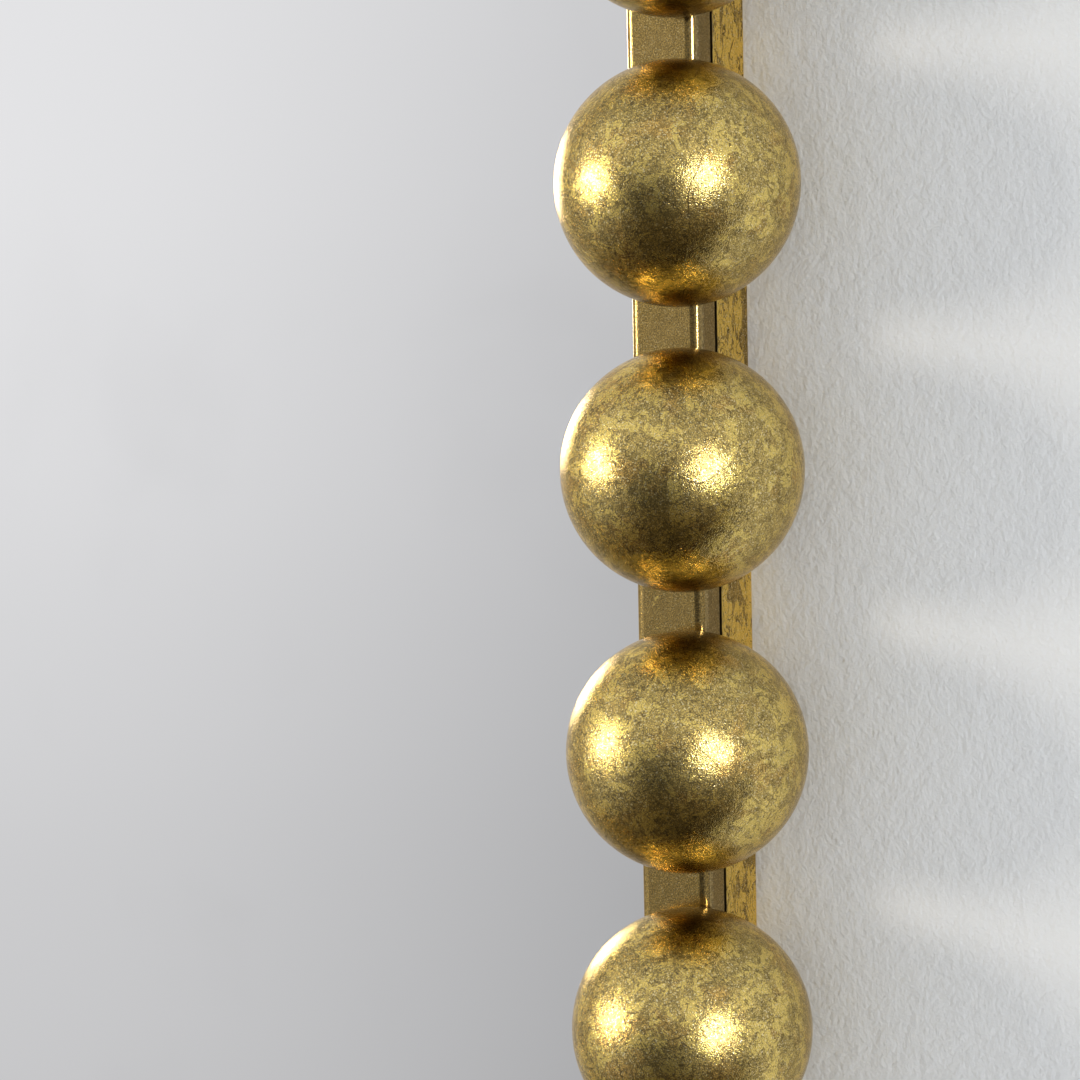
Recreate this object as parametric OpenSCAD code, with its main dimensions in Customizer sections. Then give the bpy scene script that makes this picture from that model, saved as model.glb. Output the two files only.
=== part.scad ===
// Rectangular wall mirror with a two-layer gold frame and a ball on every step of its outer corner.
// The wall is the plane Y = 0, the mirror looks towards -Y, +X is to the viewer's right and +Z is up.
// The origin is the middle of the wall plane.

/* [Balls] */
// Diameter of a ball
bead_d = 49; // [44:1:52]
// Clear gap between neighbouring balls
bead_gap = 8; // [4:1:20]
// Steps between balls along the top and bottom, corner to corner
beads_across = 8; // [4:1:8]
// Steps between balls along each side, corner to corner
beads_up = 12; // [6:1:12]
// How far a ball's centre lies inside the frame's outer side
bead_inset = 1; // [0:0.5:4]
// How far a ball's centre lies in front of the frame's front face
bead_proud = 6; // [4:0.5:10]

/* [Front bar] */
// Width of the front bar, seen from the front
front_bar_w = 16.5; // [14:0.5:20]
// Depth of the front bar, from front to back
front_bar_d = 6.5; // [6:0.5:10]
// Radius of the front bar's two front edges
front_bar_radius = 2.2; // [1.5:0.1:3]

/* [Rear bar] */
// Width of the rear bar, from its outer side to the rebate
rear_bar_w = 8; // [7:0.5:10]
// Depth of the rear bar, from front to back
rear_bar_d = 14; // [12:0.5:18]
// Radius of the rear bar's two back edges
rear_bar_radius = 0.8; // [0.4:0.1:1]
// Width of the shadow groove that parts the two bars on their outer side
seam_w = 0.9; // [0.5:0.1:1.2]
// Depth of the shadow groove
seam_depth = 0.6; // [0.3:0.1:0.6]
// Radius of the edge behind the shadow groove
seam_edge = 0.3; // [0.1:0.1:0.5]
// Wall of both tubes
tube_wall = 1.2; // [0.8:0.1:1.4]

/* [Glass and backing] */
// Thickness of the mirror glass
glass_t = 3; // [2:0.5:4]
// Clearance between the glass edge and the rear bars
glazing_gap = 1; // [0.5:0.25:1.5]
// Thickness of the foam tape in front of the glass
tape_t = 0.5; // [0.3:0.1:1]
// How far the tape stays back from the sight edge
tape_setback = 1.5; // [0.5:0.5:2.5]
// Gap between two strips of tape where they meet at a corner
tape_joint = 0.5; // [0.2:0.1:2]
// Thickness of the backing board
board_t = 5; // [3:0.5:6]

/* [Retaining tabs] */
// Tabs along each side bar
tabs_side = 3; // [2:1:4]
// Tabs along the top bar and along the bottom bar
tabs_end = 2; // [2:1:3]
// Width of a tab
tab_w = 14; // [10:1:18]
// Reach of a tab from the rear bar over the board
tab_l = 17; // [14:1:24]
// Thickness of a tab
tab_t = 1.5; // [1:0.1:2]

/* [Screws] */
// Diameter of a screw's shank
screw_d = 3; // [2.5:0.1:3.5]
// Diameter of a screw's head
screw_head_d = 6; // [5.5:0.1:7]
// Height of a screw's head
screw_head_h = 1.8; // [1.2:0.1:2]
// Board left under a screw's tip
screw_skin = 1; // [0.8:0.1:1.5]
// Clearance round a screw's shank
screw_fit = 0.1; // [0.05:0.05:0.2]

/* [Hangers] */
// Width of a hanger strap
strap_w = 11; // [10:0.5:14]
// Length of a strap below the ring's axis
strap_l = 40; // [38:1:50]
// Thickness of a strap
strap_t = 0.8; // [0.6:0.1:1]
// Distance from the ring's axis down to the first screw
strap_screw_drop = 23; // [22:0.5:24]
// Distance between a strap's two screws
strap_screw_step = 11; // [9:0.5:12]
// Diameter of the ring's wire
ring_wire = 2.4; // [2:0.1:2.6]
// Radial clearance of the ring's wire in the strap's curl
ring_fit = 0.05; // [0.02:0.01:0.1]
// Clearance between the hanging ring and the strap
ring_lift = 0.3; // [0.2:0.1:0.4]
// Clearance between the strap's curl and the ring's bends, each side
ring_side_gap = 1; // [0.5:0.25:1.5]
// Centreline radius of the ring's two small bends
ring_bend = 3; // [2.5:0.25:4]
// Length of the ring's straight sides
ring_side = 4; // [2:0.5:4.5]
// Distance from the rear bar in to a strap's middle
hanger_inset = 45; // [32:1:70]
// Distance from the frame's top down to the ring's axis
hanger_drop = 150; // [60:1:165]

/* [Wall bumpers] */
// Diameter of a wall bumper
bumper_d = 6; // [4:0.5:6]
// Thickness of a wall bumper
bumper_t = 1.6; // [1.2:0.1:3]
// Distance from the frame's top or bottom to a bumper's middle
bumper_inset = 30; // [15:1:60]

/* [Hidden] */
$fn = 64;

// Names of the side pieces, in the order in which the frame is walked
SIDES = ["top", "bottom", "left", "right"];

// Frame size, which follows from the row of balls
bead_step = bead_d + bead_gap;
frame_w = beads_across * bead_step + 2 * bead_inset;
frame_h = beads_up * bead_step + 2 * bead_inset;

// Planes from the wall forwards
back_y = -bumper_t;
split_y = back_y - rear_bar_d;
front_y = split_y - front_bar_d;
bead_y = front_y - bead_proud;
glass_y = split_y + tape_t;
board_y = glass_y + glass_t;
board_back_y = board_y + board_t;

// Glass and board, which share one outline between the rear bars
rebate_w = frame_w - 2 * rear_bar_w;
rebate_h = frame_h - 2 * rear_bar_w;
glass_w = rebate_w - 2 * glazing_gap;
glass_h = rebate_h - 2 * glazing_gap;
tape_w = front_bar_w - rear_bar_w - glazing_gap - tape_setback;

// Every tab as [turn about Y, x, z], where a turn of 0 hangs it from the top bar
tab_places = concat(
    [for (i = [1:tabs_end]) [0, (i - (tabs_end + 1) / 2) * rebate_w / tabs_end, rebate_h / 2]],
    [for (i = [1:tabs_end]) [180, (i - (tabs_end + 1) / 2) * rebate_w / tabs_end, -rebate_h / 2]],
    [for (i = [1:tabs_side]) [-90, -rebate_w / 2, (i - (tabs_side + 1) / 2) * rebate_h / tabs_side]],
    [for (i = [1:tabs_side]) [90, rebate_w / 2, (i - (tabs_side + 1) / 2) * rebate_h / tabs_side]]
);
tab_screw_drop = tab_l - tab_w / 2;

// Length of a screw in the board
screw_bite = board_t - screw_skin;

// Ring and curl
curl_r = ring_wire / 2 + ring_fit + strap_t;
ring_leg = strap_w + 2 * ring_side_gap;
ring_r = ring_leg / 2 + ring_bend;
hanger_x = rebate_w / 2 - hanger_inset;
ring_z = frame_h / 2 - hanger_drop;
ring_y = board_back_y + strap_t + ring_lift + ring_wire / 2;

// Every strap screw as [x, z]
strap_screws = [
    for (x = [-hanger_x, hanger_x])
    for (drop = [strap_screw_drop, strap_screw_drop + strap_screw_step])
    [x, ring_z - drop]
];
strap_screw_end = strap_l - strap_w / 2;

// Colours
leaf_gold = [0.74, 0.62, 0.34];
bar_gold = [0.60, 0.50, 0.28];
silver = [0.86, 0.87, 0.88];
steel = [0.62, 0.63, 0.65];
foam_black = [0.10, 0.10, 0.10];
board_brown = [0.48, 0.36, 0.24];

// Overlap that carries a cut past a face
cut = 1;

// The block that the frame fills, deeper than any ball: it notches a ball, so that it saddles the corner
module frame_block() {
    translate([-frame_w / 2, front_y, -frame_h / 2])
        cube([frame_w, bead_d, frame_h]);
}

// A ball on one step of the frame, counted from the bottom left corner
module bead(column, row) {
    color(leaf_gold)
        difference() {
            translate([(column - beads_across / 2) * bead_step, bead_y, (row - beads_up / 2) * bead_step])
                sphere(d = bead_d);
            frame_block();
        }
}

// Rectangle behind and below the origin, with two front and two back corners that may be round
module bar_outline(depth, width, front_radius, back_radius) {
    corners = [
        [0, 0, front_radius],
        [0, -width, front_radius],
        [depth, 0, back_radius],
        [depth, -width, back_radius]
    ];
    difference() {
        translate([0, -width])
            square([depth, width]);
        for (corner = corners)
            if (corner[2] > 0)
                round_corner(corner[0], corner[1], corner[2], depth / 2, -width / 2);
    }
}

// What a round corner takes away: a small square at the corner less a circle on the inner side
module round_corner(x, y, r, middle_x, middle_y) {
    toward_x = sign(middle_x - x);
    toward_y = sign(middle_y - y);
    difference() {
        translate([x, y])
            square(2 * r, center = true);
        translate([x + toward_x * r, y + toward_y * r])
            circle(r = r);
    }
}

// Section of a tube: its outline less its bore
module tube_section(depth, width, front_radius, back_radius) {
    difference() {
        bar_outline(depth, width, front_radius, back_radius);
        translate([tube_wall, -tube_wall])
            bar_outline(
                depth - 2 * tube_wall,
                width - 2 * tube_wall,
                front_radius - tube_wall,
                back_radius - tube_wall
            );
    }
}

// Section of the groove along a bar's outer front edge, with the soft edge behind it
module seam_groove() {
    translate([-cut, -seam_depth])
        square([seam_w + cut, seam_depth + cut]);
    round_corner(seam_w, 0, seam_edge, rear_bar_d / 2, -rear_bar_w / 2);
}

// Runs a section along X and mitres its ends, with the outer side on Z = 0 and the front on Y = 0
module mitred(length, width, depth) {
    intersection() {
        rotate([90, 0, 90])
            linear_extrude(length, center = true)
                children();
        translate([0, depth + cut, 0])
            rotate([90, 0, 0])
                linear_extrude(depth + 2 * cut)
                    polygon([
                        [-length / 2, 0],
                        [length / 2, 0],
                        [length / 2 - width, -width],
                        [-length / 2 + width, -width]
                    ]);
    }
}

// Carries a piece made for the top bar to one side of the frame
module on_side(side) {
    if (side == "top") translate([0, 0, frame_h / 2]) children();
    if (side == "bottom") translate([0, 0, -frame_h / 2]) rotate([0, 180, 0]) children();
    if (side == "left") translate([-frame_w / 2, 0, 0]) rotate([0, -90, 0]) children();
    if (side == "right") translate([frame_w / 2, 0, 0]) rotate([0, 90, 0]) children();
}

function side_length(side) = side == "top" || side == "bottom" ? frame_w : frame_h;

module front_bar(side) {
    color(bar_gold)
        on_side(side)
            translate([0, front_y, 0])
                mitred(side_length(side), front_bar_w, front_bar_d)
                    tube_section(front_bar_d, front_bar_w, front_bar_radius, 0);
}

module rear_bar(side) {
    color(bar_gold)
        on_side(side)
            translate([0, split_y, 0])
                mitred(side_length(side), rear_bar_w, rear_bar_d)
                    difference() {
                        tube_section(rear_bar_d, rear_bar_w, 0, rear_bar_radius);
                        seam_groove();
                    }
}

module mirror_glass() {
    color(silver)
        translate([-glass_w / 2, glass_y, -glass_h / 2])
            cube([glass_w, glass_t, glass_h]);
}

// Four strips between the front bars and the glass: the side strips fit between the long end strips
module glazing_tape() {
    side_strip = glass_h - 2 * tape_w - 2 * tape_joint;
    color(foam_black)
        for (end = [-1, 1]) {
            translate([-glass_w / 2, split_y, end * (glass_h - tape_w) / 2 - tape_w / 2])
                cube([glass_w, tape_t, tape_w]);
            translate([end * (glass_w - tape_w) / 2 - tape_w / 2, split_y, -side_strip / 2])
                cube([tape_w, tape_t, side_strip]);
        }
}

// Cylinder along +Y from a point
module along_y(x, y, z, d, h) {
    translate([x, y, z])
        rotate([-90, 0, 0])
            cylinder(d = d, h = h);
}

// Pilot holes go as deep as the screws, and leave the same skin of board
module backing_board() {
    pilot_y = board_y + screw_skin;
    pilot_h = screw_bite + cut;
    pilot_d = screw_d + 2 * screw_fit;
    color(board_brown)
        difference() {
            translate([-glass_w / 2, board_y, -glass_h / 2])
                cube([glass_w, board_t, glass_h]);
            for (place = tab_places)
                translate([place[1], 0, place[2]])
                    rotate([0, place[0], 0])
                        along_y(0, pilot_y, -tab_screw_drop, pilot_d, pilot_h);
            for (place = strap_screws)
                along_y(place[0], pilot_y, place[1], pilot_d, pilot_h);
        }
}

// A steel tab welded to the rear bar's inner face, with a round end over the board
module retaining_tab() {
    difference() {
        union() {
            translate([-tab_w / 2, board_back_y, -tab_screw_drop])
                cube([tab_w, tab_t, tab_screw_drop]);
            along_y(0, board_back_y, -tab_screw_drop, tab_w, tab_t);
        }
        along_y(0, board_back_y - cut, -tab_screw_drop, screw_d + 2 * screw_fit, tab_t + 2 * cut);
    }
}

module retaining_tabs() {
    color(steel)
        for (place = tab_places)
            translate([place[1], 0, place[2]])
                rotate([0, place[0], 0])
                    retaining_tab();
}

// A pan-head screw along Y, with its head's seat on the given plane and a cross recess
module screw(x, seat_y, z, grip) {
    head_edge = screw_head_h / 2;
    recess_w = screw_head_d / 6;
    recess_l = screw_head_d * 0.6;
    recess_h = screw_head_h / 2;
    translate([x, seat_y, z])
        difference() {
            rotate([-90, 0, 0])
                rotate_extrude()
                    polygon([
                        [0, -grip - screw_bite],
                        [screw_d / 2, -grip - screw_bite],
                        [screw_d / 2, 0],
                        [screw_head_d / 2, 0],
                        [screw_head_d / 2, head_edge],
                        [screw_head_d / 3, screw_head_h],
                        [0, screw_head_h]
                    ]);
            translate([-recess_l / 2, screw_head_h - recess_h, -recess_w / 2])
                cube([recess_l, screw_head_h, recess_w]);
            translate([-recess_w / 2, screw_head_h - recess_h, -recess_l / 2])
                cube([recess_w, screw_head_h, recess_l]);
        }
}

module tab_screws() {
    color(steel)
        for (place = tab_places)
            translate([place[1], 0, place[2]])
                rotate([0, place[0], 0])
                    screw(0, board_back_y + tab_t, -tab_screw_drop, tab_t);
}

module hanger_screws() {
    color(steel)
        for (place = strap_screws)
            screw(place[0], board_back_y + strap_t, place[1], strap_t);
}

// A flat strap on the board, curled at its top into a sleeve for the ring
module hanger_strap(x) {
    color(steel)
        difference() {
            union() {
                translate([x - strap_w / 2, board_back_y, ring_z - strap_screw_end])
                    cube([strap_w, strap_t, strap_screw_end]);
                along_y(x, board_back_y, ring_z - strap_screw_end, strap_w, strap_t);
                translate([x, ring_y, ring_z])
                    rotate([0, 90, 0])
                        cylinder(r = curl_r, h = strap_w, center = true);
            }
            translate([x, ring_y, ring_z])
                rotate([0, 90, 0])
                    cylinder(d = ring_wire + 2 * ring_fit, h = strap_w + 2 * cut, center = true);
            for (drop = [strap_screw_drop, strap_screw_drop + strap_screw_step])
                along_y(
                    x,
                    board_back_y - cut,
                    ring_z - drop,
                    screw_d + 2 * screw_fit,
                    strap_t + 2 * cut
                );
        }
}

// A D-shaped wire ring, hanging: a straight leg in the curl, two bends, two sides and a half round
module hanger_ring(x) {
    color(steel)
        translate([x, ring_y, ring_z])
            rotate([90, 0, 0])
                union() {
                    rotate([0, 90, 0])
                        cylinder(d = ring_wire, h = ring_leg, center = true);
                    for (end = [-1, 1]) {
                        translate([end * ring_leg / 2, -ring_bend, 0])
                            rotate([0, 0, end > 0 ? 0 : 90])
                                wire_bend(ring_bend, 90);
                        translate([end * ring_r, -ring_bend - ring_side, 0])
                            rotate([-90, 0, 0])
                                cylinder(d = ring_wire, h = ring_side);
                    }
                    translate([0, -ring_bend - ring_side, 0])
                        rotate([0, 0, 180])
                            wire_bend(ring_r, 180);
                }
}

module wire_bend(radius, angle) {
    rotate_extrude(angle = angle)
        translate([radius, 0])
            circle(d = ring_wire);
}

module wall_bumpers() {
    bumper_x = (frame_w - rear_bar_w) / 2;
    bumper_z = frame_h / 2 - bumper_inset;
    color(foam_black)
        for (x = [-bumper_x, bumper_x])
            for (z = [-bumper_z, bumper_z])
                along_y(x, back_y, z, bumper_d, bumper_t);
}

bead(0, beads_up);  // bead_corner_top_left
bead(beads_across, beads_up);  // bead_corner_top_right
bead(0, 0);  // bead_corner_bottom_left
bead(beads_across, 0);  // bead_corner_bottom_right
for (i = [1:beads_across - 1]) {
    bead(i, beads_up);
    bead(i, 0);
}
for (i = [1:beads_up - 1]) {
    bead(0, beads_up - i);
    bead(beads_across, beads_up - i);
}
for (side = SIDES) {
    front_bar(side);
    rear_bar(side);
}
mirror_glass();
glazing_tape();
backing_board();
retaining_tabs();
tab_screws();
hanger_strap(-hanger_x);  // hanger_strap_left
hanger_strap(hanger_x);  // hanger_strap_right
hanger_ring(-hanger_x);  // hanger_ring_left
hanger_ring(hanger_x);  // hanger_ring_right
hanger_screws();
wall_bumpers();
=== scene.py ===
"""The looks of a gold-leafed wall mirror: camera, lamps, wall, floor and a node material for every piece.

Lengths are in metres. The wall is the plane Y = 0, the mirror looks towards -Y and +Z is up.
"""
import math

import bpy
from mathutils import Matrix, Vector


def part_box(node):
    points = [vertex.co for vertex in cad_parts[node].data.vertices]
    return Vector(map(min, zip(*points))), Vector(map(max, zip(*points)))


# Camera, which stands to the right of the frame's front outer corner and a little above its middle
CAMERA_SIDE = math.radians(30.0)
CAMERA_REACH = 0.604
CAMERA_HEIGHT = 0.0455
LOOK_SIDE = math.radians(33.12)
LOOK_DOWN = math.radians(5.62)
LOOK_ROLL = math.radians(-1.28)
LENS_MM = 100.0
SENSOR_MM = 36.0

# Two soft lamps in front, as [side angle, height angle, distance, diameter, power in watts, colour]
FRONT_LAMPS = {
    "lamp_right": (56.0, 6.0, 2.0, 0.50, 15.6, (0.96, 0.98, 1.0)),
    "lamp_left": (-54.5, 5.0, 2.2, 0.52, 17.3, (1.0, 0.92, 0.80)),
}
BACK_LAMP_PLACE = (0.5, 2.2, 0.9)
BACK_LAMP_DIAMETER = 1.2
BACK_LAMP_POWER = 34.0
# Light of the room on dull surfaces, and the room as the camera sees it
AMBIENT = 0.59
AMBIENT_COLOUR = (0.91, 0.955, 1.0)
ROOM_COLOUR = (0.80, 0.80, 0.79)

# How bright the room looks in reflections, as [sine of the height angle, tone]
LEFT_TONES = [
    (-1.0, 0.06), (-0.88, 0.11), (-0.73, 0.17), (-0.61, 0.27), (-0.52, 0.42), (-0.4, 0.58), (-0.27, 0.63),
    (-0.18, 0.69), (-0.098, 0.77), (0.0, 0.84), (0.073, 0.86), (0.36, 0.86), (0.67, 0.82), (0.87, 0.56),
    (1.0, 0.48),
]
FRONT_TONES = [
    (-1.0, 0.05), (-0.88, 0.06), (-0.71, 0.10), (-0.4, 0.11), (-0.12, 0.15), (0.07, 0.31),
    (0.36, 0.65), (0.67, 0.84), (0.87, 0.70), (1.0, 0.48),
]
RIGHT_TONES = [
    (-1.0, 0.05), (-0.88, 0.08), (-0.71, 0.13), (-0.4, 0.30), (-0.12, 0.48), (0.07, 0.58),
    (0.36, 0.70), (0.67, 0.78), (0.87, 0.60), (1.0, 0.48),
]
# Tint of the room's dim low parts, and the tones and the sines of the height angle over which it fades
LOW_TINT = (1.0, 0.80, 0.50)
DIM_TONES = (0.05, 0.45)
LOW_HEIGHTS = (-0.65, -0.30)
# Azimuths between which the dim front passes into the left and the right, in degrees
FRONT_TO_LEFT = (-12.0, -45.0)
FRONT_TO_RIGHT = (15.0, 45.0)

# Studio room
WALL_HALF_W = 1.5
WALL_TOP = 1.4
FLOOR_Z = -0.80
FLOOR_REACH = 2.4
# Shares of their reach from which the wall and the floor thin out
WALL_FADE_FROM = 0.7
FLOOR_FADE_FROM = 0.6
# How far the wall reaches in behind the frame's outer edge
WALL_OPENING_LAP = 0.002
# Darkest and palest tones of the wall's paint and of the floor
WALL_TONES = ((0.745, 0.745, 0.745), (0.775, 0.775, 0.775))
FLOOR_TONES = ((0.735, 0.73, 0.72), (0.775, 0.77, 0.76))
# Heights of the rolled paint's fine ripples and of its wider peel
RIPPLE_HEIGHT = 0.00030
PEEL_HEIGHT = 0.00045

# Colours of gold leaf and of the patina under it, of painted glints, and a near black for painted shade and
# dirt
LEAF = (0.79, 0.595, 0.165)
PATINA = (0.39, 0.287, 0.088)
WARM_PATINA = (0.43, 0.265, 0.068)
BAR_FACE = (0.34, 0.23, 0.070)
BAR_SIDE = (0.245, 0.17, 0.064)
BAR_FLAKES = (0.72, 0.52, 0.14)
REAR_LEAF = (0.90, 0.61, 0.13)
REAR_PATINA = (0.29, 0.195, 0.055)
# Pale flecks of painted glint, standing in for sparkle in the leaf's grain
PAINTED_GLINT = (0.97, 0.85, 0.52)
# Near black, painted as shade at the balls' poles and as dirt with painted shade in the groove between the
# bars
DIRT_AND_SHADE = (0.02, 0.014, 0.006)
# What the leaf's colour tends to at a grazing angle
GRAZING_TINT = (0.85, 0.71, 0.48, 1.0)
# How much lighter the patina's mottles are, and how much darker its lines
MOTTLE = (1.52, 1.52, 1.50)
DARK_LINE = (0.45, 0.42, 0.4)
# Noise level above which the leaf is clean: the higher it is, the less clean leaf there is
BALL_COVER = 0.535
FRONT_BAR_COVER = 0.68
REAR_BAR_COVER = 0.46
TAB_COVER = 0.53
# Sizes of what is seen in the leaf
ISLAND_SIZE = 0.0040
CLUSTER_SIZE = 0.013
WAVE_SIZE = 0.010
MOTTLE_SIZE = 0.0017
LINE_SIZE = 0.0017
CREASE_SIZE = 0.04
GRAIN_SIZE = 0.00026
PAINTED_GLINT_SIZE = 0.00031
# How much clusters of islands change the noise level, and how much of it an island's edge takes
CLUSTER_SPREAD = 0.13
ISLAND_EDGE = 0.008
# Heights of the leaf's waves, flakes and creases, and of the fine grain that makes it sparkle
WAVE_HEIGHT = 0.00005
FLAKE_HEIGHT = 0.00002
CREASE_HEIGHT = 0.00002
GRAIN_HEIGHT = 0.000062
# Scale of places along a bar: the smaller it is, the more the leaf's pattern is drawn out
FRONT_BAR_STRETCH = 0.75
REAR_BAR_STRETCH = 0.5
# Width of the groove between the two bars, and how far the dirt and painted shade in it take to fade out
SEAM_W = 0.0009
SEAM_FADE = 0.0003
# Width of the front bar's back edge, which isn't rubbed smooth as its front edges are
BACK_EDGE = 0.0010
# How much lacquer lies on the leaf, and how rough lacquer and the groove's dirt and painted shade are
BALL_LACQUER = 0.36
BAR_LACQUER = 0.3
TAB_LACQUER = 0.1
LACQUER_ROUGH = 0.12
DIRT_AND_SHADE_ROUGH = 0.7


def direction(side, height):
    """Unit vector from the mirror into the room, side degrees to the right and height degrees up."""
    a = math.radians(side)
    e = math.radians(height)
    return Vector((math.sin(a) * math.cos(e), -math.cos(a) * math.cos(e), math.sin(e)))


class Nodes:
    """Short calls that build one node tree."""

    def __init__(self, owner):
        owner.use_nodes = True
        self.tree = owner.node_tree
        self.tree.nodes.clear()

    def add(self, kind, inputs=None, **settings):
        """A node with its settings, and with a number, colour or socket for each named input."""
        node = self.tree.nodes.new(kind)
        for name, value in settings.items():
            setattr(node, name, value)
        for name, value in (inputs or {}).items():
            self.feed(node.inputs[name], value)
        return node

    def feed(self, socket, value):
        if isinstance(value, bpy.types.NodeSocket):
            self.tree.links.new(value, socket)
        elif hasattr(value, "__len__") and len(value) == 3 and socket.type == "RGBA":
            socket.default_value = (*value, 1.0)
        else:
            socket.default_value = value

    def math(self, operation, a, b=0.0, c=0.0):
        return self.add("ShaderNodeMath", {0: a, 1: b, 2: c}, operation=operation).outputs[0]

    def curve(self, value, points):
        """A grey tone that follows a few points, from -1 to 1."""
        ramp = self.add("ShaderNodeValToRGB", {0: self.math("MULTIPLY_ADD", value, 0.5, 0.5)})
        ramp.color_ramp.interpolation = "CARDINAL"
        stops = ramp.color_ramp.elements
        while len(stops) < len(points):
            stops.new(0.5)
        for stop, (place, tone) in zip(stops, points):
            stop.position = 0.5 * place + 0.5
            stop.color = (tone, tone, tone, 1.0)
        return ramp.outputs[0]

    def step(self, value, low, high, at_low=0.0, at_high=1.0):
        """A smooth step of a value from low to high."""
        inputs = {"Value": value, "From Min": low, "From Max": high, "To Min": at_low, "To Max": at_high}
        return self.add("ShaderNodeMapRange", inputs, interpolation_type="SMOOTHSTEP").outputs[0]

    def scale(self, value, low, high):
        """Stretches 0 to 1 into low to high."""
        return self.add("ShaderNodeMapRange", {"Value": value, "To Min": low, "To Max": high}).outputs[0]

    def mix(self, factor, a, b):
        """Mixes two numbers."""
        return self.add("ShaderNodeMix", {0: factor, 2: a, 3: b}).outputs[0]

    def blend(self, factor, a, b, mode="MIX"):
        """Mixes two colours."""
        inputs = {0: factor, 6: a, 7: b}
        return self.add("ShaderNodeMix", inputs, data_type="RGBA", blend_type=mode).outputs[2]

    def split(self, vector):
        """The X, Y and Z of a vector."""
        return self.add("ShaderNodeSeparateXYZ", {0: vector}).outputs

    def normal(self):
        """Which way the surface faces, without its relief."""
        return self.add("ShaderNodeTexCoord").outputs["Normal"]

    def place(self, stretch=(1.0, 1.0, 1.0)):
        """Where a point of the surface is, in metres."""
        here = self.add("ShaderNodeTexCoord").outputs["Object"]
        return self.add("ShaderNodeMapping", {"Vector": here, "Scale": stretch}).outputs[0]

    def noise(self, where, size, detail=2.0, rough=0.5, twist=0.0):
        """Noise from 0 to 1 with lumps of about the given size in metres."""
        inputs = {"Vector": where, "Scale": 1.0 / size, "Detail": detail}
        inputs.update({"Roughness": rough, "Distortion": twist})
        return self.add("ShaderNodeTexNoise", inputs).outputs[0]

    def drift(self, where, size, reach):
        """Moves the places about, so that what is drawn there swirls."""
        inputs = {"Vector": where, "Scale": 1.0 / size, "Detail": 2.0}
        swirl = self.add("ShaderNodeTexNoise", inputs).outputs[1]
        centred = self.vector("SUBTRACT", {0: swirl, 1: (0.5, 0.5, 0.5)})
        moved = self.vector("SCALE", {0: centred, 3: reach})
        return self.vector("ADD", {0: where, 1: moved})

    def vector(self, operation, inputs):
        return self.add("ShaderNodeVectorMath", inputs, operation=operation).outputs[0]

    def ridges(self, where, size, width, detail=1.0, twist=0.0):
        """Thin wandering lines: 1 on a line and 0 away from it."""
        level = self.noise(where, size, detail, twist=twist)
        away = self.math("ABSOLUTE", self.math("SUBTRACT", level, 0.5))
        return self.step(away, 0.0, width, at_low=1.0, at_high=0.0)

    def total(self, parts):
        """Adds up reliefs, each a value from 0 to 1 with its depth in metres."""
        height = 0.0
        for value, depth in parts:
            height = self.math("MULTIPLY_ADD", value, depth, height)
        return height

    def bump(self, height):
        """Relief with its height in metres."""
        return self.add("ShaderNodeBump", {"Height": height, "Distance": 1.0, "Strength": 1.0}).outputs[0]

    def mix_shader(self, factor, a, b):
        return self.add("ShaderNodeMixShader", {0: factor, 1: a.outputs[0], 2: b.outputs[0]})

    def surface(self, shader):
        self.add("ShaderNodeOutputMaterial", {"Surface": shader.outputs[0]})


def new_material(name):
    material = bpy.data.materials.new(name)
    return material, Nodes(material)


def drawn_out(run, share):
    """A scale of places that draws a pattern out along one axis."""
    return [share if axis == run else 1.0 for axis in range(3)]


def metal_leaf(n, colour, rough, relief, lacquer):
    """Metal under a thin lacquer."""
    raised = n.bump(relief)
    inputs = {"Base Color": colour, "Roughness": rough, "Normal": raised}
    inputs.update({"Coat Weight": lacquer, "Coat Normal": raised})
    shader = n.add("ShaderNodeBsdfPrincipled", inputs)
    shader.inputs["Metallic"].default_value = 1.0
    shader.inputs["Specular Tint"].default_value = GRAZING_TINT
    shader.inputs["Coat Roughness"].default_value = LACQUER_ROUGH
    n.surface(shader)


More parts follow.
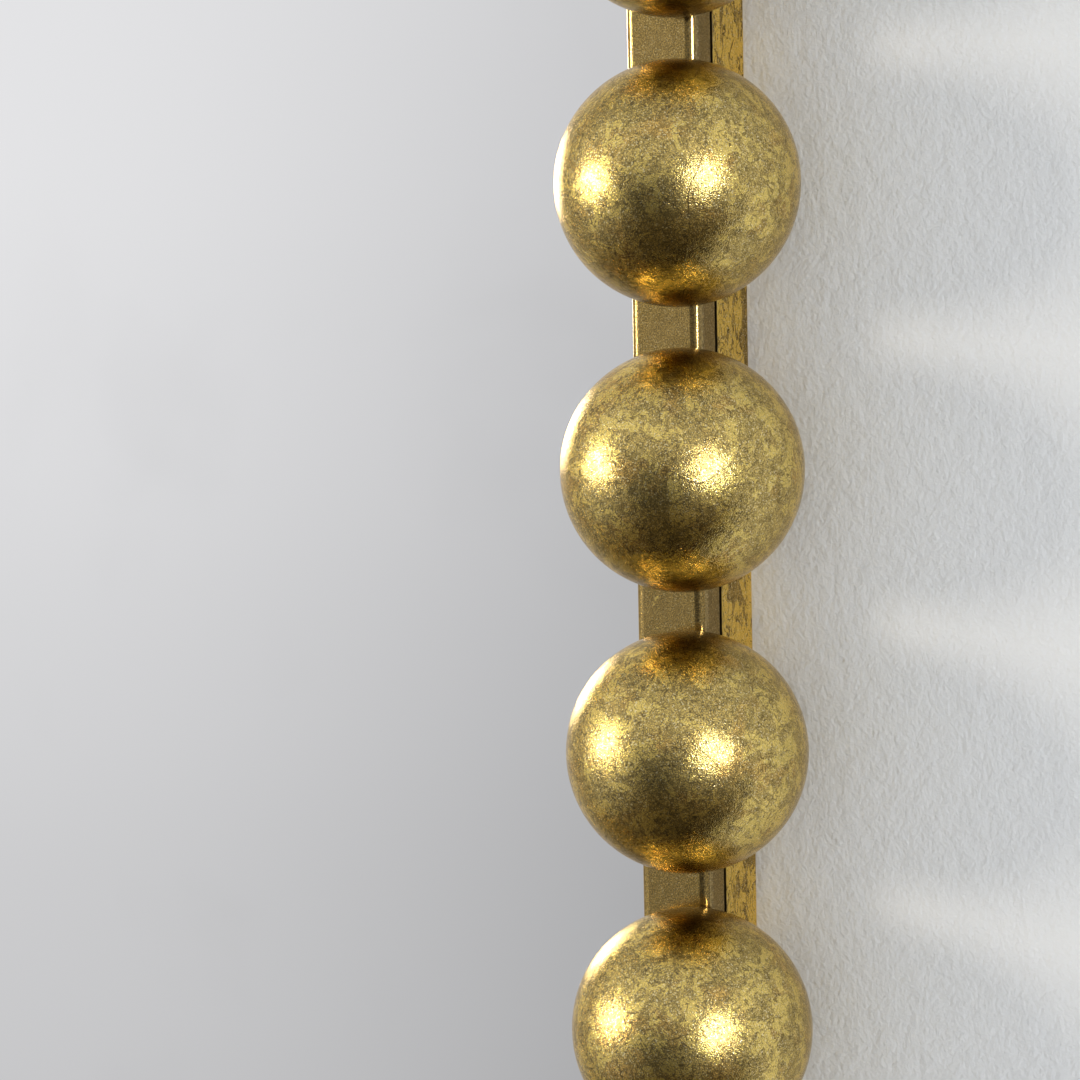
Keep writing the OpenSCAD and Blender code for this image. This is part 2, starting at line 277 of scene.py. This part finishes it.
def leaf_layers(n, here, leaf, patina, cover, worm, lively=1.0):
    """Ragged islands of leaf on the patina, with dark lines, painted sparkle and painted glints: colour,
    clean share and relief.

    Leaf lies where a noise passes the level cover. Worm is the strength of the fine dark lines, and lively
    that of the patina's mottling and of the painted glints.
    """
    swirled = n.drift(here, size=0.009, reach=0.006)
    patches = n.noise(swirled, ISLAND_SIZE, detail=5.0, rough=0.70, twist=0.6)
    clusters = n.scale(n.noise(here, CLUSTER_SIZE, detail=1.0), -CLUSTER_SPREAD, CLUSTER_SPREAD)
    clean = n.step(n.math("ADD", patches, clusters), cover - ISLAND_EDGE, cover + ISLAND_EDGE)
    flakes = n.noise(swirled, MOTTLE_SIZE, detail=5.0, rough=0.75, twist=0.4)
    worms = n.ridges(n.drift(here, size=0.004, reach=0.002), LINE_SIZE, width=0.040, twist=1.0)
    creases = n.ridges(n.drift(here, size=0.03, reach=0.02), CREASE_SIZE, width=0.004, detail=0.0, twist=0.3)
    grain = n.noise(n.place(), GRAIN_SIZE, detail=1.0, rough=0.7)

    lighter = n.blend(lively, patina, MOTTLE, "MULTIPLY")
    colour = n.blend(n.step(flakes, 0.44, 0.56), patina, lighter)
    colour = n.blend(clean, colour, leaf)
    lines = n.math("MAXIMUM", n.math("MULTIPLY", worms, worm), n.math("MULTIPLY", creases, 0.5))
    colour = n.blend(lines, colour, n.blend(1.0, patina, DARK_LINE, "MULTIPLY"))
    # Painted sparkle: the grain's tone, lighter and darker by turns, weaker on clean leaf
    painted_sparkle = n.step(grain, 0.3, 0.7, at_low=0.54, at_high=1.44)
    painted_sparkle = n.mix(n.math("MULTIPLY", clean, 0.5), painted_sparkle, 1.0)
    tint = n.add("ShaderNodeCombineColor", {0: painted_sparkle, 1: painted_sparkle, 2: painted_sparkle}).outputs[0]
    colour = n.blend(1.0, colour, tint, "MULTIPLY")
    # Pale painted glints, scattered over the leaf
    painted_glints = n.step(n.noise(n.place(), PAINTED_GLINT_SIZE, detail=0.0), 0.67, 0.75, at_high=0.7 * lively)
    colour = n.blend(painted_glints, colour, PAINTED_GLINT)

    relief = n.total([
        (n.noise(here, WAVE_SIZE, detail=1.0), WAVE_HEIGHT),
        (flakes, FLAKE_HEIGHT),
        (creases, CREASE_HEIGHT),
        (grain, GRAIN_HEIGHT),
    ])
    return colour, clean, relief


def ball_leaf(name, axes):
    """Gold leaf on a ball, with painted shade at the poles where the next balls along these axes stand
    close.
    """
    material, n = new_material(name)
    here = n.place()
    warm = n.step(n.noise(here, size=0.007), 0.5, 0.7, at_high=0.6)
    patina = n.blend(warm, PATINA, WARM_PATINA)
    colour, clean, relief = leaf_layers(n, here, LEAF, patina, BALL_COVER, worm=0.85)
    pole = 0.0
    for axis in axes:
        pole = n.math("MAXIMUM", pole, n.math("ABSOLUTE", n.split(n.normal())[axis]))
    # Painted shade, near black, at the poles where the next balls stand close
    painted_pole_shade = n.math("ADD", pole, n.scale(n.noise(here, size=0.005, detail=4.0, rough=0.6), -0.14, 0.14))
    colour = n.blend(n.step(painted_pole_shade, 0.85, 1.03, at_high=0.7), colour, DIRT_AND_SHADE)
    metal_leaf(n, colour, n.scale(clean, 0.21, 0.19), relief, BALL_LACQUER)
    return material


def front_bar_leaf(name, run, back):
    """Thin brown leaf on the front bar, with a few bright flakes on it, and a dull outer side."""
    material, n = new_material(name)
    facing = n.math("ABSOLUTE", n.split(n.normal())[1])
    base = n.blend(n.step(facing, 0.35, 0.75), BAR_SIDE, BAR_FACE)
    here = n.place(drawn_out(run, FRONT_BAR_STRETCH))
    colour, clean, relief = leaf_layers(n, here, BAR_FLAKES, base, FRONT_BAR_COVER, worm=0.15, lively=0.35)

    depth = n.split(n.place())[1]
    turned_away = n.step(facing, 0.93, 0.985, at_low=1.0, at_high=0.0)
    edge = n.math("MULTIPLY", n.step(facing, 0.15, 0.35), turned_away)
    in_front = n.step(depth, back - BACK_EDGE, back - BACK_EDGE / 2, at_low=1.0, at_high=0.0)
    edge = n.math("MULTIPLY", edge, in_front)
    rough = n.mix(edge, n.scale(clean, 0.15, 0.12), 0.10)
    relief = n.math("MULTIPLY", relief, n.scale(edge, 0.4, 0.15))
    # Dirt and painted shade along the front bar's back edge, by the groove between the bars
    seam_dirt_and_shade = n.step(depth, back - SEAM_FADE, back - SEAM_FADE / 3)
    colour = n.blend(seam_dirt_and_shade, colour, DIRT_AND_SHADE)
    rough = n.mix(seam_dirt_and_shade, rough, DIRT_AND_SHADE_ROUGH)
    metal_leaf(n, colour, rough, relief, n.scale(seam_dirt_and_shade, BAR_LACQUER, 0.0))
    return material


def rear_bar_leaf(name, run, front):
    """Yellow leaf on the rear bar, crossed by fine dark lines, with dirt and painted shade in the groove at
    its front.
    """
    material, n = new_material(name)
    here = n.place(drawn_out(run, REAR_BAR_STRETCH))
    colour, clean, relief = leaf_layers(n, here, REAR_LEAF, REAR_PATINA, REAR_BAR_COVER, worm=1.0)

    depth = n.split(n.place())[1]
    # Dirt and painted shade in the groove at the rear bar's front
    seam_dirt_and_shade = n.step(depth, front + SEAM_W, front + SEAM_W + SEAM_FADE, at_low=1.0, at_high=0.0)
    colour = n.blend(seam_dirt_and_shade, colour, DIRT_AND_SHADE)
    rough = n.mix(seam_dirt_and_shade, n.scale(clean, 0.17, 0.12), DIRT_AND_SHADE_ROUGH)
    metal_leaf(n, colour, rough, n.math("MULTIPLY", relief, 0.5), n.scale(seam_dirt_and_shade, BAR_LACQUER, 0.0))
    return material


def tab_leaf():
    """The same leaf, thin and dull, on the welded tabs at the back."""
    material, n = new_material("tab_gold_paint")
    colour, clean, relief = leaf_layers(n, n.place(), REAR_LEAF, PATINA, TAB_COVER, worm=0.2)
    metal_leaf(n, colour, n.scale(clean, 0.45, 0.35), relief, TAB_LACQUER)
    return material


def silvered_glass():
    """Mirror glass with very faint smudges."""
    material, n = new_material("silvered_glass")
    smudge = n.noise(n.drift(n.place(), size=0.1, reach=0.05), size=0.06, detail=3.0)
    colour = n.blend(n.step(smudge, 0.5, 0.8), (0.905, 0.905, 0.922), (0.87, 0.87, 0.887))
    rough = n.step(smudge, 0.45, 0.85, at_low=0.012, at_high=0.06)
    shader = n.add("ShaderNodeBsdfPrincipled", {"Base Color": colour, "Roughness": rough})
    shader.inputs["Metallic"].default_value = 1.0
    n.surface(shader)
    return material


def foam_tape():
    """Black foam with fine cells."""
    material, n = new_material("foam_tape")
    cells = n.noise(n.place(), size=0.0006, rough=0.6)
    colour = n.blend(cells, (0.012, 0.012, 0.013), (0.04, 0.04, 0.042))
    relief = n.bump(n.total([(cells, 0.0001)]))
    shader = n.add("ShaderNodeBsdfPrincipled", {"Base Color": colour, "Normal": relief})
    shader.inputs["Roughness"].default_value = 0.85
    n.surface(shader)
    return material


def pressed_board():
    """Hardboard: brown, with pressed fibres."""
    material, n = new_material("backing_board")
    grained = n.drift(n.place((1.0, 1.0, 0.25)), size=0.01, reach=0.006)
    fibres = n.noise(grained, size=0.0012, detail=4.0, rough=0.7)
    cloud = n.noise(n.place(), size=0.08, detail=3.0)
    colour = n.blend(n.step(fibres, 0.3, 0.7), (0.16, 0.085, 0.04), (0.30, 0.18, 0.095))
    colour = n.blend(n.scale(cloud, 0.0, 0.35), colour, (0.24, 0.15, 0.09))
    relief = n.bump(n.total([(fibres, 0.00025)]))
    rough = n.scale(fibres, 0.62, 0.8)
    inputs = {"Base Color": colour, "Roughness": rough, "Normal": relief}
    n.surface(n.add("ShaderNodeBsdfPrincipled", inputs))
    return material


def plated_steel():
    """Zinc-plated steel with a faint spangle and fine scratches."""
    material, n = new_material("zinc_steel")
    cloud = n.noise(n.drift(n.place(), size=0.01, reach=0.004), size=0.004, detail=4.0, rough=0.6)
    scratches = n.noise(n.place((1.0, 1.0, 0.06)), size=0.0004, rough=0.6)
    colour = n.blend(n.step(cloud, 0.35, 0.7), (0.46, 0.47, 0.49), (0.66, 0.67, 0.68))
    rough = n.math("ADD", n.scale(cloud, 0.22, 0.38), n.scale(scratches, -0.05, 0.05))
    relief = n.bump(n.total([(scratches, 0.00001)]))
    shader = n.add("ShaderNodeBsdfPrincipled", {"Base Color": colour, "Roughness": rough, "Normal": relief})
    shader.inputs["Metallic"].default_value = 1.0
    n.surface(shader)
    return material


def bumper_rubber():
    """Black rubber with a little dust."""
    material, n = new_material("bumper_rubber")
    dust = n.noise(n.place(), size=0.0015, detail=4.0, rough=0.6)
    colour = n.blend(dust, (0.018, 0.018, 0.018), (0.06, 0.058, 0.055))
    inputs = {"Base Color": colour, "Roughness": n.scale(dust, 0.55, 0.8)}
    n.surface(n.add("ShaderNodeBsdfPrincipled", inputs))
    return material


def leaf_materials(split):
    """Leaf for the bars and balls, by the way their side runs: 0 along X and 2 along Z."""
    made = {"bead_corner_": ball_leaf("ball_gold_leaf_corner", (0, 2))}
    for kind, run, sides in (("end", 0, ("top", "bottom")), ("side", 2, ("left", "right"))):
        ball = ball_leaf("ball_gold_leaf_" + kind, (run,))
        front = front_bar_leaf("front_bar_leaf_" + kind, run, split)
        rear = rear_bar_leaf("rear_bar_leaf_" + kind, run, split)
        for side in sides:
            made["bead_" + side] = ball
            made["front_bar_" + side] = front
            made["rear_bar_" + side] = rear
    return made


def dress(nodes, split):
    """Gives every CAD node its material, by the start of its name."""
    materials = leaf_materials(split)
    materials.update({
        "mirror_glass": silvered_glass(),
        "glazing_tape": foam_tape(),
        "backing_board": pressed_board(),
        "retaining_tabs": tab_leaf(),
        "wall_bumpers": bumper_rubber(),
    })
    materials["tab_screws"] = materials["hanger_"] = plated_steel()
    for name, piece in nodes.items():
        start = next(start for start in materials if name.startswith(start))
        piece.data.materials.clear()
        piece.data.materials.append(materials[start])


def plane_piece(name, corners, faces):
    mesh = bpy.data.meshes.new(name)
    mesh.from_pydata(corners, [], faces)
    piece = bpy.data.objects.new(name, mesh)
    bpy.context.scene.collection.objects.link(piece)
    return piece


def wall_paint():
    """Pale rolled paint, seen from the room's side only, which thins out at the wall's far edges."""
    material, n = new_material("wall_paint")
    here = n.place()
    ripples = n.noise(n.place((1.0, 1.0, 0.9)), size=0.0011, detail=3.0, rough=0.6)
    peel = n.noise(here, size=0.004)
    colour = n.blend(n.noise(here, size=0.05), *WALL_TONES)
    relief = n.bump(n.total([(ripples, RIPPLE_HEIGHT), (peel, PEEL_HEIGHT)]))
    paint = n.add("ShaderNodeBsdfDiffuse", {"Color": colour, "Normal": relief})

    seen_from_behind = n.add("ShaderNodeNewGeometry").outputs["Backfacing"]
    across, _, height = n.split(here)
    side = n.step(n.math("ABSOLUTE", across), WALL_FADE_FROM * WALL_HALF_W, WALL_HALF_W)
    top = n.step(height, WALL_FADE_FROM * WALL_TOP, WALL_TOP)
    gone = n.math("MAXIMUM", seen_from_behind, n.math("MAXIMUM", side, top))
    n.surface(n.mix_shader(gone, paint, n.add("ShaderNodeBsdfTransparent")))
    return material


def make_wall(frame_high):
    """A wall with an opening just inside the frame's outline, so that the back can be seen and lit."""
    x = frame_high.x - WALL_OPENING_LAP
    z = frame_high.z - WALL_OPENING_LAP
    w = WALL_HALF_W
    corners = [
        (-w, 0, FLOOR_Z), (w, 0, FLOOR_Z), (w, 0, WALL_TOP), (-w, 0, WALL_TOP),
        (-x, 0, -z), (x, 0, -z), (x, 0, z), (-x, 0, z),
    ]
    faces = [(i, (i + 1) % 4, (i + 1) % 4 + 4, i + 4) for i in range(4)]
    wall = plane_piece("wall", corners, faces)
    wall.data.materials.append(wall_paint())


def floor_finish():
    """Pale floor that thins out far from the mirror. Metal shows the room's tones below instead."""
    material, n = new_material("floor_finish")
    here = n.place()
    pale = n.blend(n.noise(here, size=0.2, detail=3.0), *FLOOR_TONES)
    reach = n.add("ShaderNodeVectorMath", {0: here}, operation="LENGTH").outputs["Value"]
    gone = n.step(reach, FLOOR_FADE_FROM * FLOOR_REACH, FLOOR_REACH)
    gone = n.math("MAXIMUM", gone, n.add("ShaderNodeLightPath").outputs["Is Glossy Ray"])
    paint = n.add("ShaderNodeBsdfDiffuse", {"Color": pale})
    n.surface(n.mix_shader(gone, paint, n.add("ShaderNodeBsdfTransparent")))
    return material


def make_floor():
    r = FLOOR_REACH
    floor = plane_piece("floor", [(-r, -r, 0), (r, -r, 0), (r, r, 0), (-r, r, 0)], [(0, 1, 2, 3)])
    floor.location.z = FLOOR_Z
    floor.data.materials.append(floor_finish())


def make_room_light():
    """The room: pale to the camera, and in reflections bright above, dim in front and warm low down."""
    world = bpy.data.worlds.new("room")
    bpy.context.scene.world = world
    n = Nodes(world)
    x, y, height = n.split(n.add("ShaderNodeTexCoord").outputs["Generated"])
    side = n.math("DEGREES", n.math("ARCTAN2", x, n.math("MULTIPLY", y, -1.0)))
    to_right = n.step(side, *FRONT_TO_RIGHT)
    to_left = n.step(side, FRONT_TO_LEFT[1], FRONT_TO_LEFT[0], 1.0, 0.0)
    tone = n.mix(to_right, n.curve(height, FRONT_TONES), n.curve(height, RIGHT_TONES))
    tone = n.mix(to_left, tone, n.curve(height, LEFT_TONES))
    neutral = n.math("MAXIMUM", n.step(tone, *DIM_TONES), n.step(height, *LOW_HEIGHTS))
    tint = n.blend(neutral, LOW_TINT, (1.0, 1.0, 1.0))

    reflected = n.add("ShaderNodeBackground", {"Color": tint, "Strength": tone})
    lit = n.add("ShaderNodeBackground", {"Color": AMBIENT_COLOUR, "Strength": AMBIENT})
    seen = n.add("ShaderNodeBackground", {"Color": ROOM_COLOUR, "Strength": 1.0})
    path = n.add("ShaderNodeLightPath").outputs
    in_metal = n.mix_shader(path["Is Glossy Ray"], lit, reflected)
    to_camera = n.mix_shader(path["Is Camera Ray"], in_metal, seen)
    n.add("ShaderNodeOutputWorld", {"Surface": to_camera.outputs[0]})


def add_lamp(name, place, aim, diameter, power, colour):
    data = bpy.data.lights.new(name, "AREA")
    data.shape = "DISK"
    data.size = diameter
    data.energy = power
    data.color = colour
    lamp = bpy.data.objects.new(name, data)
    lamp.location = place
    lamp.rotation_mode = "QUATERNION"
    lamp.rotation_quaternion = (aim - place).to_track_quat("-Z", "Y")
    bpy.context.scene.collection.objects.link(lamp)


def make_lamps(corner):
    """Two lamps in front, placed about the photographed stretch, and one behind for the back."""
    for name, (side, height, reach, diameter, power, colour) in FRONT_LAMPS.items():
        add_lamp(name, corner + direction(side, height) * reach, corner, diameter, power, colour)
    behind = Vector(BACK_LAMP_PLACE)
    add_lamp("lamp_behind", behind, Vector((0, 0, 0)), BACK_LAMP_DIAMETER, BACK_LAMP_POWER, (1.0, 1.0, 1.0))


def make_camera(corner):
    """The photograph's viewpoint, which is given from the frame's front outer corner line."""
    data = bpy.data.cameras.new("camera")
    data.lens = LENS_MM
    data.sensor_width = SENSOR_MM
    data.clip_start = 0.01
    data.clip_end = 50.0
    camera = bpy.data.objects.new("camera", data)
    ahead = -direction(math.degrees(LOOK_SIDE), math.degrees(LOOK_DOWN))
    level_right = ahead.cross(Vector((0, 0, 1))).normalized()
    level_up = level_right.cross(ahead)
    right = math.cos(LOOK_ROLL) * level_right + math.sin(LOOK_ROLL) * level_up
    up = math.cos(LOOK_ROLL) * level_up - math.sin(LOOK_ROLL) * level_right
    turn = Matrix((right, up, -ahead)).transposed()
    camera.rotation_mode = "QUATERNION"
    camera.rotation_quaternion = turn.to_quaternion()
    away = Vector((math.sin(CAMERA_SIDE), -math.cos(CAMERA_SIDE), 0)) * CAMERA_REACH
    camera.location = Vector((corner.x, corner.y, CAMERA_HEIGHT)) + away
    bpy.context.scene.collection.objects.link(camera)
    bpy.context.scene.camera = camera


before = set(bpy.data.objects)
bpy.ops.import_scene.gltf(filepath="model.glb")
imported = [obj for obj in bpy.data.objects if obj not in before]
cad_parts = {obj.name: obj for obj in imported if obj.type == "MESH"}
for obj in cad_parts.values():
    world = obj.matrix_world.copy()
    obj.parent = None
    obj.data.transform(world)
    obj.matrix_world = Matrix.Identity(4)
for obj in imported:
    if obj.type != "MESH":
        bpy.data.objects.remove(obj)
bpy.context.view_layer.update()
bar_low, bar_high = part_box("front_bar_right")
front_corner = Vector((bar_high.x, bar_low.y, 0))

bpy.context.scene.view_settings.view_transform = "Standard"
make_camera(front_corner)
make_lamps(front_corner)
make_room_light()
make_wall(bar_high)
make_floor()
dress(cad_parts, bar_high.y)
